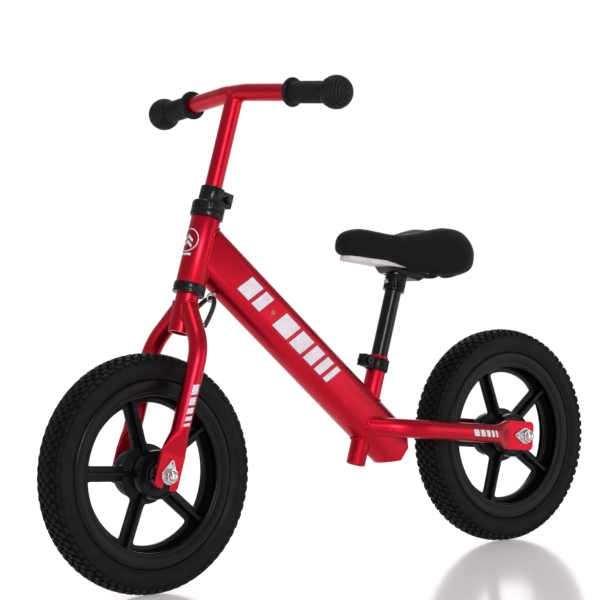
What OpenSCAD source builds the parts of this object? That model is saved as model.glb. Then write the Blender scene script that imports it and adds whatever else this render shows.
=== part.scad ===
// Child's balance bike: one large oval main tube, steered front fork, twelve-inch
// foam-tyred wheels, height-adjustable handlebar and saddle.
// +X is forwards, +Y is the rider's left, +Z is up; the floor is z = 0 under mid-wheelbase.

/* [Wheels] */
// Outer radius of the tyres
wheel_radius = 147.5; // [140:0.5:150]
// Distance between the two axles
wheelbase = 607; // [600:1:620]
// Width of a tyre
tyre_width = 47; // [44:1:50]
// Radius of the seam between tyre and rim
seam_radius = 115.4; // [114:0.2:117]
// Inner radius of the rim's side lips
lip_radius = 95.5; // [94:0.5:98]
// Radius of the ring that the openings between the spokes reach
opening_radius = 88.5; // [86:0.5:91]
// Number of spokes in each wheel
spoke_count = 5; // [3:1:7]
// Width of a spoke, seen from the side
spoke_width = 18; // [14:1:20]
// Turn of the first spoke of the front wheel
front_spoke_turn = 77; // [70:1:80]
// Turn of the first spoke of the rear wheel
rear_spoke_turn = 72; // [70:1:80]
// Radius of the disc that joins the spokes at the hub
disc_radius = 37; // [35:0.5:40]
// Radius of the hub's end flanges
hub_radius = 30; // [28:1:32]
// Half the length of the hub
hub_half = 28; // [27:0.5:29]

/* [Axles] */
// Radius of an axle
axle_radius = 5; // [4.5:0.5:5]
// Inside face of a dropout, from the middle plane
dropout_inner = 44.5; // [44:0.5:46]
// Thickness of a flattened dropout
dropout_thick = 4; // [3:0.5:4]
// Outer radius of a wheel bearing
bearing_outer = 13; // [12.5:0.5:14]
// Width of a wheel bearing
bearing_width = 8; // [7:1:8]

/* [Head and fork] */
// Lean of the steering axis from upright, in degrees
head_lean = 19; // [18:0.5:20]
// Lower end of the head tube, along the steering axis from the axle
head_low = 241.5; // [240:0.5:243]
// Length of the head tube
head_length = 86.5; // [84:0.5:90]
// Outer radius of the head tube
head_radius = 18.5; // [18:0.5:19]
// Outer radius of the fork's crown sleeve
crown_radius = 14.3; // [14:0.1:15]
// Outer radius of the threaded-size steerer above the crown
steerer_radius = 12.7; // [12.7:0.1:13]
// Lower end of the crown sleeve, along the steering axis
crown_low = 178.5; // [176:0.5:180]
// Outer radius of a fork leg
leg_radius = 11.5; // [11:0.5:12]
// Distance of a fork leg from the middle plane
leg_half = 50; // [48:1:52]

/* [Handlebar] */
// Outer radius of the handlebar post and of the bar
bar_radius = 11.1; // [11.1:0.1:11.1]
// Height of the bar, along the steering axis
bar_height = 494; // [470:1:500]
// Angle by which each arm of the bar sweeps, in degrees
bar_sweep = 7.5; // [4:0.5:12]
// Direction of that sweep below the horizontal, in degrees
sweep_fall = 38; // [20:1:60]
// Distance of the middle of a grip's inner flange from the middle plane
grip_start = 103; // [90:1:110]
// Distance of the centre of a grip's ball end from the middle plane
grip_end = 176.6; // [170:1:185]

/* [Frame] */
// Slope of the main tube, in degrees
main_slope = 42; // [41:0.5:43]
// Height of the main tube's oval section
main_height = 65.5; // [64:0.5:68]
// Width of the main tube's oval section
main_width = 36; // [34:0.5:36.5]
// Wall thickness of the tubes
wall = 2; // [1.5:0.25:2.5]
// Lean of the seat tube from upright, in degrees
seat_lean = 19; // [18:0.5:20]
// Outer radius of the seat tube
seat_tube_radius = 12.7; // [12.7:0.1:13]
// Length of the seat tube
seat_tube_length = 148.4; // [146:0.5:152]
// Rise of the rear stays towards the front, in degrees
stay_rise = 7.1; // [6.5:0.1:8]
// Outer radius of a rear stay
stay_radius = 12.5; // [12:0.5:12.5]
// Distance of a rear stay from the middle plane
stay_half = 50; // [49:1:51]

/* [Seat] */
// Outer radius of the seat post
post_radius = 11; // [11:0.1:11]
// Where the saddle bracket's socket starts, along the seat post from the seat tube's foot
socket_low = 239.3; // [220:1:250]
// Length of the saddle
saddle_length = 204; // [195:1:215]
// Width of the saddle
saddle_width = 142; // [135:1:150]

/* [Hidden] */
$fn = 96;
HULL_FN = 32;
EPS = 0.01;
FIT_GAP = 0.075;          // radial running clearance of a post in its tube
MOVE_GAP = 0.4;           // clearance between neighbours that move
front_x = wheelbase / 2;
rear_x = -wheelbase / 2;

// Main tube: its tail on the centre line, its cut-off corners and its length
tail_x = -117.8;
tail_z = 130.8;
tail_start = 12.5;
tail_low = -12.8;
tail_high = 7.7;
head_high = head_low + head_length;
head_foot = [front_x - tail_x, wheel_radius - tail_z];
head_dir = [-sin(head_lean), cos(head_lean)];
main_dir = [cos(main_slope), sin(main_slope)];
main_cross = main_dir[0] * head_dir[1] - main_dir[1] * head_dir[0];
main_reach = (head_foot[0] * head_dir[1] - head_foot[1] * head_dir[0]) / main_cross;
main_length = main_reach - 3;

// Headset
race_top = head_low - 9;
cup_gap = 0.5;
cup_radius = 20.2;
spigot_radius = head_radius - wall;
spigot_inner = steerer_radius + 0.9;
bearing_ring_inner = steerer_radius + 3.2;
cap_low = head_high + 9;
cap_high = head_high + 20.5;
clamp_low = cap_high + 0.5;
clamp_high = clamp_low + 18.5;
clamp_radius = 15.2;
clamp_bolt_reach = 22;
ear_reach = 29;
ear_thick = 6;
ear_slit = 2;
clamp_bolt_radius = 2.5;
steerer_bore = bar_radius + FIT_GAP;

// Fork leg
leg_bend_start = 140;
leg_bend_radius = 60;
leg_bend = 40;
leg_tail = 50;
leg_steps = 10;
leg_flat_start = 26;
leg_round_end = 52;
plate_width = 36;
plate_reach = 17;
slot_half = 5.2;
bend_end_y = leg_half - leg_bend_radius * (1 - cos(leg_bend));
bend_end_s = leg_bend_start + leg_bend_radius * sin(leg_bend);

// Rear stay
stay_bend_start = 180;
stay_bend_radius = 80;
stay_bend = 45;
stay_tail = 20;
stay_steps = 12;
tube_sides = 24;
stay_flat_start = 30;
stay_round_end = 58;
stay_plate_width = 40;

// Seat tube foot, seat clamp and seat post
seat_foot = [-34.8, 129.1];
seat_bore = post_radius + FIT_GAP;
seat_clamp_low = 128.5;
seat_clamp_high = 144.5;
seat_post_low = 60;

// Handlebar
bar_bend_radius = 90;
bar_straight = 14;
bar_arm_start = bar_straight + bar_bend_radius * sin(bar_sweep);
grip_flange_at = (grip_start - bar_arm_start) / cos(bar_sweep);
grip_ball_at = (grip_end - bar_arm_start) / cos(bar_sweep);
grip_ball_radius = 21;
grip_flange_radius = 18.5;
grip_barrel_radius = 13.5;
handlebar_post_low = 230;

// Saddle frame: middle of the pan's top face
saddle_x = -119;
saddle_z = 391.9;
saddle_tilt = 8.2;
socket_radius = 14.5;
bracket_x = -125;
bracket_z = 391;
bracket_width = 38;
pan_low = -6;
screw_radius = 1.9;
screw_head_radius = 3.4;
screw_seat = -12;         // where the pan screws' heads bear, below the pan's top

// Steering limiter: eye under the main tube and the cord's ends behind the fork legs
eye_at = [-35, 0, 234.7];
cord_end = [-18.5, 24, 193];
cord_pull = [-37, 16, 236];
cord_radius = 3;
eye_ring_radius = 5.2;
eye_wire_radius = 1.3;
cord_steps = 6;
cord_sides = 10;
cord_side_way = [0.91, 0, 0.41];

// Axle stack
bearing_face = hub_half - 0.5;
washer_thick = 1.6;
nut_hex_height = 7;
nut_tip = 63.6;
dropout_outer = dropout_inner + dropout_thick;
inner_ring_radius = 8;
outer_ring_inner = 11;
ball_radius = 1.4;
ball_circle = 9.5;
ball_count = 9;

FRAME_RED = [0.72, 0.06, 0.16];
BLACK = [0.08, 0.08, 0.09];
DARK = [0.14, 0.14, 0.15];
STEEL = [0.75, 0.76, 0.78];

// ---- Places ----

// Steering axis: z runs up the axis from the front axle
module at_steering() {
    translate([front_x, 0, wheel_radius]) rotate([0, -head_lean, 0]) children();
}

// Seat tube axis: z runs up from the seat tube's foot
module at_seat() {
    translate([seat_foot[0], 0, seat_foot[1]]) rotate([0, -seat_lean, 0]) children();
}

// Main tube: z runs up the tube from its tail, -x is the upper side
module at_main() {
    translate([tail_x, 0, tail_z]) rotate([0, 90 - main_slope, 0]) children();
}

// Rear stays: x runs forwards and up from the rear axle
module at_stay() {
    translate([rear_x, 0, wheel_radius]) rotate([0, -stay_rise, 0]) children();
}

module at_saddle() {
    translate([saddle_x, 0, saddle_z]) rotate([0, -saddle_tilt, 0]) children();
}

// Both sides of the middle plane
module both_sides() {
    children();
    mirror([0, 1, 0]) children();
}

// A cylinder along y from a to b
module y_rod(a, b, r) {
    translate([0, a, 0]) rotate([-90, 0, 0]) cylinder(r = r, h = b - a);
}

// A tube swept along points, with a radius at each; up is never along the path
function sweep_ring(points, i, r, sides, up) =
    let (
        last = len(points) - 1,
        way = points[min(i + 1, last)] - points[max(i - 1, 0)],
        side = cross(way, up),
        u = side / norm(side),
        v = cross(way / norm(way), u)
    )
    [for (k = [0 : sides - 1])
        let (a = k * 360 / sides) points[i] + r * (cos(a) * u + sin(a) * v)];

module sweep(points, radii, sides, up) {
    rings = len(points) - 1;
    polyhedron(
        points = [for (i = [0 : rings]) each sweep_ring(points, i, radii[i], sides, up)],
        faces = concat(
            [[for (k = [0 : sides - 1]) k]],
            [[for (k = [sides - 1 : -1 : 0]) rings * sides + k]],
            [for (i = [0 : rings - 1]) for (k = [0 : sides - 1])
                let (n = (k + 1) % sides, a = i * sides, b = a + sides)
                [a + k, b + k, b + n, a + n]]
        )
    );
}

// A rod along z whose far end is a half ball, which starts at h
module domed_rod(r, h) {
    rotate_extrude() {
        square([r, h]);
        translate([0, h]) intersection() {
            circle(r);
            square(r);
        }
    }
}

module ring(outer, inner, h) {
    difference() {
        cylinder(r = outer, h = h);
        translate([0, 0, -EPS]) cylinder(r = inner, h = h + 2 * EPS);
    }
}

// ---- Main tube ----

module oval(h, w) {
    square([h - w, w], center = true);
    translate([(h - w) / 2, 0]) circle(d = w);
    translate([(w - h) / 2, 0]) circle(d = w);
}

// Side outline of the tail, with its upper and lower corners cut off, inset by t
module tail_outline(t) {
    slant = t * sqrt(2);
    polygon([
        [-(tail_low - t + slant), tail_start + t],
        [-(tail_high + t - slant), tail_start + t],
        [-main_height, tail_start + main_height - tail_high + slant],
        [-main_height, main_length + 2 * wall],
        [main_height, main_length + 2 * wall],
        [main_height, tail_start + main_height + tail_low + slant]
    ]);
}

module main_solid(t) {
    intersection() {
        linear_extrude(main_length) oval(main_height - 2 * t, main_width - 2 * t);
        translate([0, main_width, 0]) rotate([90, 0, 0])
            linear_extrude(2 * main_width) tail_outline(t);
    }
}

module main_tube() {
    color(FRAME_RED) difference() {
        at_main() main_solid(0);
        at_main() main_solid(wall);
        at_steering() translate([0, 0, head_low]) cylinder(r = head_radius, h = head_length);
        at_seat() cylinder(r = seat_tube_radius, h = seat_tube_length);
    }
}

module head_tube() {
    color(FRAME_RED) at_steering() translate([0, 0, head_low])
        ring(head_radius, head_radius - wall, head_length);
}

module seat_tube() {
    color(FRAME_RED) at_seat() ring(seat_tube_radius, seat_bore, seat_tube_length);
}

// ---- Rear stays ----

// Middle line of a stay: straight, then one long bend, then a tail into the main tube
function stay_bend_point(a) = [
    stay_bend_start + stay_bend_radius * sin(a),
    stay_half - stay_bend_radius * (1 - cos(a)), 0
];

function stay_line() = concat(
    [[stay_round_end, stay_half, 0]],
    [for (i = [0 : stay_steps]) stay_bend_point(i * stay_bend / stay_steps)]
);

// Distances and radii of the tail's rings, which close it to a dome
function stay_tail_line(r) = [for (a = [0 : 15 : 75])
    stay_bend_point(stay_bend)
        + (stay_tail + r * sin(a)) * [cos(stay_bend), -sin(stay_bend), 0]];

module stay_path(r) {
    sweep(
        concat(stay_line(), stay_tail_line(r)),
        concat([for (p = stay_line()) r], [for (a = [0 : 15 : 75]) r * cos(a)]),
        tube_sides, [0, 0, 1]
    );
}

// A flattened tube end: x runs from the tube towards the axle at the origin
module dropout_plate(width) {
    translate([0, dropout_outer, 0]) rotate([90, 0, 0]) linear_extrude(dropout_thick) {
        difference() {
            hull() {
                translate([stay_flat_start - 1, 0]) square([2, width - 2], center = true);
                translate([-plate_reach + 6, width / 2 - 8]) circle(6, $fn = HULL_FN);
                translate([-plate_reach + 6, 8 - width / 2]) circle(6, $fn = HULL_FN);
            }
            circle(slot_half);
            translate([-2 * plate_reach, -slot_half]) square([2 * plate_reach, 2 * slot_half]);
        }
    }
}

// The stretch in which a round tube becomes a flat plate
module pinch(r, width, flat_at, round_at, half) {
    hull() {
        translate([round_at - 1, half, 0]) rotate([0, 90, 0])
            cylinder(r = r, h = 1, $fn = tube_sides);
        translate([flat_at, dropout_inner, -width / 2 + 1])
            cube([EPS, dropout_thick, width - 2]);
        translate([(flat_at + round_at) / 2, (half + dropout_inner) / 2 - r / 4, -width / 2])
            cube([EPS, r * 0.75, width]);
    }
}

module rear_stay() {
    at_stay() {
        difference() {
            stay_path(stay_radius);
            stay_path(stay_radius - wall);
        }
        pinch(stay_radius, stay_plate_width, stay_flat_start, stay_round_end, stay_half);
        dropout_plate(stay_plate_width);
    }
}

module rear_stay_left() {
    color(FRAME_RED) difference() {
        rear_stay();
        at_main() main_solid(0);
    }
}

module rear_stay_right() {
    mirror([0, 1, 0]) rear_stay_left();
}

// ---- Headset ----

module upper_headset_cup() {
    color(BLACK) at_steering() translate([0, 0, head_high]) rotate_extrude() polygon([
        [spigot_inner, -8], [spigot_radius, -8], [spigot_radius, 0], [cup_radius + 0.4, 0],
        [cup_radius + 0.8, 1], [cup_radius + 0.8, 8.5], [cup_radius - 0.8, 8.5],
        [cup_radius - 0.8, 3], [spigot_inner, 3]
    ]);
}

module upper_headset_bearing() {
    color(STEEL) at_steering() translate([0, 0, head_high + 3 + MOVE_GAP])
        ring(cup_radius - 1.4, bearing_ring_inner, 6 - MOVE_GAP);
}

module headset_top_cap() {
    cap_h = cap_high - cap_low;
    color(BLACK) at_steering() translate([0, 0, cap_low]) difference() {
        union() {
            cylinder(r = cup_radius + 0.8, h = cap_h - 4);
            translate([0, 0, cap_h - 4]) rotate_extrude()
                translate([cup_radius - 3.2, 0]) intersection() {
                    circle(4);
                    square(4);
                }
            cylinder(r = cup_radius - 3.2 + EPS, h = cap_h);
        }
        translate([0, 0, -EPS]) cylinder(r = steerer_radius, h = cap_h + 2 * EPS);
        // spanner notches round the rim
        for (a = [0 : 30 : 330]) rotate([0, 0, a]) translate([cup_radius + 1.2, 0, 2.5])
            cylinder(r = 1.2, h = cap_h);
    }
}

module lower_headset_cup() {
    color(BLACK) at_steering() translate([0, 0, head_low]) rotate_extrude() polygon([
        [spigot_inner, 8], [spigot_radius, 8], [spigot_radius, 0], [cup_radius - 0.4, 0],
        [cup_radius, -1], [cup_radius, -8.5], [cup_radius - 1.4, -8.5],
        [cup_radius - 1.4, -3], [spigot_inner, -3]
    ]);
}

module lower_headset_bearing() {
    color(STEEL) at_steering() translate([0, 0, race_top])
        ring(cup_radius - 1.8, bearing_ring_inner, 6 - cup_gap);
}

module crown_race() {
    color(BLACK) at_steering() translate([0, 0, race_top - 4]) {
        ring(cup_radius, steerer_radius, 4);
        ring(bearing_ring_inner, steerer_radius, 7);
    }
}

// ---- Clamp collars, whose ears point along +x ----

module collar(inner, h) {
    difference() {
        union() {
            cylinder(r = clamp_radius, h = h);
            translate([inner, -ear_thick - ear_slit / 2, 0])
                cube([ear_reach - inner, 2 * ear_thick + ear_slit, h]);
        }
        translate([0, 0, -EPS]) cylinder(r = inner, h = h + 2 * EPS);
        translate([0, -ear_slit / 2, -EPS]) cube([ear_reach + 1, ear_slit, h + 2 * EPS]);
        translate([clamp_bolt_reach, 0, h / 2])
            y_rod(-ear_reach, ear_reach, clamp_bolt_radius + 0.2);
    }
}

// Socket-head bolt through the ears
module collar_bolt(h) {
    ear_face = ear_thick + ear_slit / 2;
    translate([clamp_bolt_reach, 0, h / 2]) difference() {
        union() {
            y_rod(-ear_face - 5, ear_face, clamp_bolt_radius);
            y_rod(ear_face, ear_face + 4.8, 4.2);
        }
        translate([0, ear_face + 2, 0]) rotate([-90, 0, 0]) cylinder(r = 2.3, h = 4, $fn = 6);
    }
}

module collar_nut(h) {
    ear_face = ear_thick + ear_slit / 2;
    translate([clamp_bolt_reach, -ear_face - 4, h / 2]) difference() {
        rotate([-90, 0, 0]) cylinder(r = 4.6, h = 4, $fn = 6);
        y_rod(-1, 6, clamp_bolt_radius);
    }
}

module at_head_clamp() {
    at_steering() translate([0, 0, clamp_low]) rotate([0, 0, 180]) children();
}

module at_seat_clamp() {
    at_seat() translate([0, 0, seat_clamp_low]) children();
}

module handlebar_clamp() {
    color(BLACK) at_head_clamp() collar(steerer_radius, clamp_high - clamp_low);
}

module handlebar_clamp_bolt() {
    color(STEEL) at_head_clamp() collar_bolt(clamp_high - clamp_low);
}

module handlebar_clamp_nut() {
    color(STEEL) at_head_clamp() collar_nut(clamp_high - clamp_low);
}

module seat_clamp() {
    color(BLACK) at_seat_clamp() collar(seat_tube_radius, seat_clamp_high - seat_clamp_low);
}

module seat_clamp_bolt() {
    color(STEEL) at_seat_clamp() collar_bolt(seat_clamp_high - seat_clamp_low);
}

module seat_clamp_nut() {
    color(STEEL) at_seat_clamp() collar_nut(seat_clamp_high - seat_clamp_low);
}

// ---- Fork ----

module steerer_tube() {
    color(FRAME_RED) at_steering() difference() {
        union() {
            translate([0, 0, crown_low])
                cylinder(r = crown_radius, h = race_top - 4 - crown_low);
            translate([0, 0, crown_low])
                cylinder(r = steerer_radius, h = clamp_high - crown_low);
        }
        translate([0, 0, crown_low - 1]) cylinder(r = steerer_bore, h = clamp_high);
    }
}

// Middle line of a leg: straight, one bend inwards, and a tail into the crown sleeve
function leg_line() = concat(
    [[0, leg_half, leg_round_end]],
    [for (i = [0 : leg_steps]) let (a = i * leg_bend / leg_steps) [
        0, leg_half - leg_bend_radius * (1 - cos(a)),
        leg_bend_start + leg_bend_radius * sin(a)
    ]],
    [[0, bend_end_y - leg_tail * sin(leg_bend), bend_end_s + leg_tail * cos(leg_bend)]]
);

module leg_path(r) {
    sweep(leg_line(), [for (p = leg_line()) r], tube_sides, [1, 0, 0]);
}

module fork_leg_left() {
    color(FRAME_RED) at_steering() difference() {
        union() {
            difference() {
                leg_path(leg_radius);
                leg_path(leg_radius - wall);
            }
            rotate([0, -90, 0]) {
                pinch(leg_radius, plate_width, leg_flat_start, leg_round_end, leg_half);
                dropout_plate(plate_width);
            }
        }
        translate([0, 0, crown_low]) cylinder(r = crown_radius, h = head_low - crown_low);
    }
}

module fork_leg_right() {
    mirror([0, 1, 0]) fork_leg_left();
}

// ---- Steering limiter ----

module limiter_eye() {
    color(STEEL) difference() {
        at_steering() translate(eye_at) {
            rotate([90, 0, 0]) rotate_extrude()
                translate([eye_ring_radius, 0]) circle(eye_wire_radius);
            rotate([0, head_lean + main_slope - 90, 0])
                translate([0, 0, eye_ring_radius]) cylinder(r = eye_wire_radius, h = 4);
            rotate([0, head_lean + main_slope - 90, 0])
                translate([0, 0, eye_ring_radius + 0.8]) cylinder(r = 3.5, h = 3);
        }
        at_main() main_solid(0);
    }
}

module limiter_anchors() {
    color(STEEL) at_steering() both_sides()
        translate([-leg_radius, cord_end[1], cord_end[2]]) rotate([0, -90, 0])
            cylinder(r = 3.5, h = -cord_end[0] - leg_radius - cord_radius);
}

// A point of the cord between the eye and its end, at t from 0 to 1
function cord_point(t) =
    (1 - t) * (1 - t) * eye_at + 2 * t * (1 - t) * cord_pull + t * t * cord_end;

// The same on either side of the eye, at t from -1 to 1
function cord_at(t) =
    let (p = cord_point(abs(t))) [p[0], t < 0 ? -p[1] : p[1], p[2]];

module limiter_cord() {
    line = [for (i = [-cord_steps : cord_steps]) cord_at(i / cord_steps)];
    color(BLACK) at_steering()
        sweep(line, [for (p = line) cord_radius], cord_sides, cord_side_way);
}

// ---- Axles ----

module at_axle(x) {
    translate([x, 0, wheel_radius]) children();
}

module axle() {
    color(STEEL) y_rod(-nut_tip + 5, nut_tip - 5, axle_radius);
}

module inner_rings() {
    color(STEEL) both_sides() difference() {
        y_rod(bearing_face - bearing_width, bearing_face, inner_ring_radius);
        y_rod(0, hub_half, axle_radius);
    }
}

module axle_spacers() {
    color(DARK) both_sides() difference() {
        union() {
            y_rod(bearing_face, dropout_inner, inner_ring_radius);
            y_rod(hub_half + 3, hub_half + 8, inner_ring_radius + 3);
        }
        y_rod(0, dropout_inner + 1, axle_radius);
    }
}

// Retaining washer: a round plate with a pointed tab towards +z
module tab_washers() {
    color(STEEL) both_sides() translate([0, dropout_outer + washer_thick, 0])
        rotate([90, 0, 0]) linear_extrude(washer_thick) difference() {
            hull() {
                circle(11, $fn = HULL_FN);
                translate([0, 17]) circle(2.5, $fn = HULL_FN);
            }
            circle(axle_radius);
            translate([0, 15.5]) circle(1.4);
        }
}

module dome_nuts() {
    nut_start = dropout_outer + washer_thick;
    dome_radius = nut_tip - nut_start - nut_hex_height;
    color(STEEL) both_sides() difference() {
        union() {
            translate([0, nut_start, 0]) rotate([-90, 30, 0])
                cylinder(r = 9, h = nut_hex_height, $fn = 6);
            translate([0, nut_start + nut_hex_height - 1, 0]) rotate([-90, 0, 0])
                domed_rod(dome_radius, 1);
        }
        y_rod(0, nut_tip - 5, axle_radius);
    }
}

module front_axle() { at_axle(front_x) axle(); }
module rear_axle() { at_axle(rear_x) axle(); }
module front_bearing_inner_rings() { at_axle(front_x) inner_rings(); }
module rear_bearing_inner_rings() { at_axle(rear_x) inner_rings(); }
module front_axle_spacers() { at_axle(front_x) axle_spacers(); }
module rear_axle_spacers() { at_axle(rear_x) axle_spacers(); }
module front_tab_washers() { at_axle(front_x) rotate([0, -head_lean, 0]) tab_washers(); }
module rear_tab_washers() { at_axle(rear_x) rotate([0, 90 - stay_rise, 0]) tab_washers(); }
module front_dome_nuts() { at_axle(front_x) dome_nuts(); }
module rear_dome_nuts() { at_axle(rear_x) dome_nuts(); }

// ---- Wheels ----

// Half of a tyre's section: x is the radius, y the distance from the middle plane
module tyre_half() {
    seat = seam_radius - 3.4;
    bead = 19;
    intersection() {
        union() {
            translate([seam_radius + 12, 0])
                square([wheel_radius - seam_radius - 12, tyre_width / 2 - 8]);
            translate([seat, 0]) square([wheel_radius - seat - 8, 16]);
            translate([seam_radius, 0]) square([12, bead]);
            translate([seam_radius + 12, 0]) intersection() {
                circle(tyre_width / 2);
                translate([-12, 0]) square([40, tyre_width / 2]);
            }
        }
        translate([wheel_radius - 60, 0]) circle(60);
    }
}

module tyre() {
    color(BLACK) rotate([90, 0, 0]) rotate_extrude() {
        tyre_half();
        mirror([0, 1]) tyre_half();
    }
}

// Half of the rim's section: tyre seat, side wall with its lip, and middle web
module rim_half() {
    seat = seam_radius - 3.4;
    translate([seat - 3, 0]) square([3, 16]);
    polygon([
        [seat - 3, 14], [seat, 14], [seat, 16], [seam_radius, 16], [seam_radius, 19],
        [seam_radius - 5, 20.5],
        [lip_radius + 9, 20], [lip_radius + 2.5, 18.5], [lip_radius, 16.5],
        [lip_radius, 14.5], [lip_radius + 2, 14.5], [lip_radius + 9, 16]
    ]);
    translate([opening_radius, 0]) square([seat - opening_radius - 2, 2.5]);
}

// A hub section: end flange, waist and bearing pocket
module hub_half_section() {
    polygon([
        [9, 0], [disc_radius, 0], [disc_radius, 2], [disc_radius - 2, 4],
        [hub_radius - 3, 5.5], [hub_radius - 5, 7.5], [hub_radius - 5, 13], [hub_radius, 14.5],
        [hub_radius, hub_half - 1], [hub_radius - 1, hub_half], [hub_radius - 3, hub_half],
        [hub_radius - 4, hub_half - 2], [bearing_outer + 3, hub_half - 2],
        [bearing_outer + 2, hub_half], [bearing_outer, hub_half],
        [bearing_outer, bearing_face - bearing_width], [9, bearing_face - bearing_width]
    ]);
}

// One spoke along +x: a flat blade with a deeper rib along its middle
module spoke() {
    inner = hub_radius - 6;
    reach = opening_radius + 1 - inner;
    flare = 10;
    translate([inner, 3, 0]) rotate([90, 0, 0]) linear_extrude(6) polygon([
        [0, spoke_width / 2 + flare / 2], [flare, spoke_width / 2],
        [reach - flare, spoke_width / 2], [reach, spoke_width / 2 + flare],
        [reach, -spoke_width / 2 - flare], [reach - flare, -spoke_width / 2],
        [flare, -spoke_width / 2], [0, -spoke_width / 2 - flare / 2]
    ]);
    translate([inner, 0, -2.5]) linear_extrude(5) polygon([
        [0, 12], [lip_radius + 6 - inner, 10], [lip_radius + 6 - inner, -10], [0, -12]
    ]);
}

module rim(turn) {
    color(BLACK) {
        rotate([90, 0, 0]) rotate_extrude() {
            rim_half();
            mirror([0, 1]) rim_half();
        }
        difference() {
            union() {
                rotate([90, 0, 0]) rotate_extrude() {
                    hub_half_section();
                    mirror([0, 1]) hub_half_section();
                }
                for (i = [0 : spoke_count - 1])
                    rotate([0, -(turn + i * 360 / spoke_count), 0]) spoke();
            }
            y_rod(-hub_half, hub_half, 9 - EPS);
        }
    }
}

module outer_rings() {
    color(STEEL) both_sides() difference() {
        y_rod(bearing_face - bearing_width, bearing_face, bearing_outer);
        y_rod(0, hub_half, outer_ring_inner);
    }
}

module bearing_balls() {
    color(STEEL) both_sides() for (i = [0 : ball_count - 1])
        rotate([0, i * 360 / ball_count, 0])
            translate([ball_circle, bearing_face - bearing_width / 2, 0]) sphere(ball_radius);
}

module front_tyre() { at_axle(front_x) tyre(); }
module rear_tyre() { at_axle(rear_x) tyre(); }
module front_rim() { at_axle(front_x) rim(front_spoke_turn); }
module rear_rim() { at_axle(rear_x) rim(rear_spoke_turn); }
module front_bearing_outer_rings() { at_axle(front_x) outer_rings(); }
module rear_bearing_outer_rings() { at_axle(rear_x) outer_rings(); }
module front_bearing_balls() { at_axle(front_x) bearing_balls(); }
module rear_bearing_balls() { at_axle(rear_x) bearing_balls(); }

// ---- Handlebar ----

module at_bar() {
    at_steering() translate([0, 0, bar_height])
        rotate([0, head_lean - sweep_fall, 0]) children();
}

// Start of a bar's left arm, with z running out along it
module at_arm() {
    translate([-bar_bend_radius * (1 - cos(bar_sweep)), bar_arm_start, 0])
        rotate([0, 0, bar_sweep]) rotate([-90, 0, 0]) children();
}

module bar_path(r, arm_length) {
    y_rod(-bar_straight, bar_straight, r);
    both_sides() {
        translate([-bar_bend_radius, bar_straight, 0]) rotate_extrude(angle = bar_sweep)
            translate([bar_bend_radius, 0]) circle(r);
        at_arm() cylinder(r = r, h = arm_length);
    }
}

module handlebar_bar() {
    color(FRAME_RED) at_bar() difference() {
        bar_path(bar_radius, grip_ball_at + 8);
        bar_path(bar_radius - wall, grip_ball_at + 9);
    }
}

module handlebar_post() {
    color(FRAME_RED) difference() {
        at_steering() translate([0, 0, handlebar_post_low])
            ring(bar_radius, bar_radius - wall, bar_height - handlebar_post_low);
        at_bar() y_rod(-bar_straight, bar_straight, bar_radius);
    }
}

// Grip section: flange, ribbed barrel and ridged ball end
function ball_ridge(a) = grip_ball_radius + 0.5 * cos(a * 9);

module grip_left() {
    flange = 5;
    barrel_end = grip_ball_at - grip_ball_radius + 5;
    color(BLACK) at_bar() at_arm() difference() {
        rotate_extrude() polygon(concat(
            [[0, grip_flange_at - flange / 2], [grip_flange_radius - 1, grip_flange_at - flange / 2]],
            [[grip_flange_radius, grip_flange_at], [grip_flange_radius - 1, grip_flange_at + flange / 2]],
            [for (s = [grip_flange_at + flange / 2 + 1 : 2.5 : barrel_end])
                for (k = [0, 1]) [grip_barrel_radius + 0.5 * k, s + 1.25 * k]],
            [for (a = [-50 : 8 : 86])
                [ball_ridge(a) * cos(a), grip_ball_at + ball_ridge(a) * sin(a)]],
            [[0, grip_ball_at + grip_ball_radius - 1]]
        ));
        translate([0, 0, -1]) cylinder(r = bar_radius, h = grip_ball_at + 9);
    }
}

module grip_right() {
    mirror([0, 1, 0]) grip_left();
}

// ---- Seat ----

module seat_post() {
    color(BLACK) at_seat() translate([0, 0, seat_post_low])
        ring(post_radius, post_radius - wall, socket_low + 26 - seat_post_low);
}

// Bracket under the saddle: a shallow V of two arms with the post's socket below
module saddle_bracket() {
    color(DARK) difference() {
        union() {
            translate([0, bracket_width / 2, 0]) rotate([90, 0, 0])
                linear_extrude(bracket_width) bracket_outline();
            at_seat() translate([0, 0, socket_low]) cylinder(r = socket_radius, h = 29);
        }
        at_seat() translate([0, 0, socket_low - 1]) cylinder(r = post_radius, h = 27);
        at_saddle() translate([0, 0, pan_low + 20]) cube([200, 80, 40], center = true);
        at_seat() translate([0, 0, socket_low + 9]) rotate([0, 90, 0])
            cylinder(r = screw_radius, h = 2 * post_radius);
        at_pan_screws() translate([0, 0, -30]) cylinder(r = screw_radius, h = 30);
        at_pan_screws() translate([0, 0, screw_seat - 20])
            cylinder(r = screw_head_radius + 0.2, h = 20);
    }
}

module bracket_outline() {
    polygon([
        [bracket_x + 30, bracket_z + 6], [bracket_x + 30, bracket_z + 1.3],
        [bracket_x + 20, bracket_z - 10.7], [bracket_x - 18, bracket_z - 23.5],
        [bracket_x - 32, bracket_z - 17.6], [bracket_x - 32, bracket_z - 5]
    ]);
}

// Grub screw that grips the post from the front of the socket
module bracket_screw() {
    grip = socket_radius - post_radius;
    color(STEEL) at_seat() translate([post_radius, 0, socket_low + 9]) rotate([0, 90, 0]) {
        cylinder(r = screw_radius, h = grip);
        translate([0, 0, grip]) cylinder(r = screw_head_radius, h = 2.4);
    }
}

module at_pan_screws() {
    at_saddle() for (x = [-30, 8]) for (y = [-12.5, 12.5]) translate([x, y, 0]) children();
}

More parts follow.
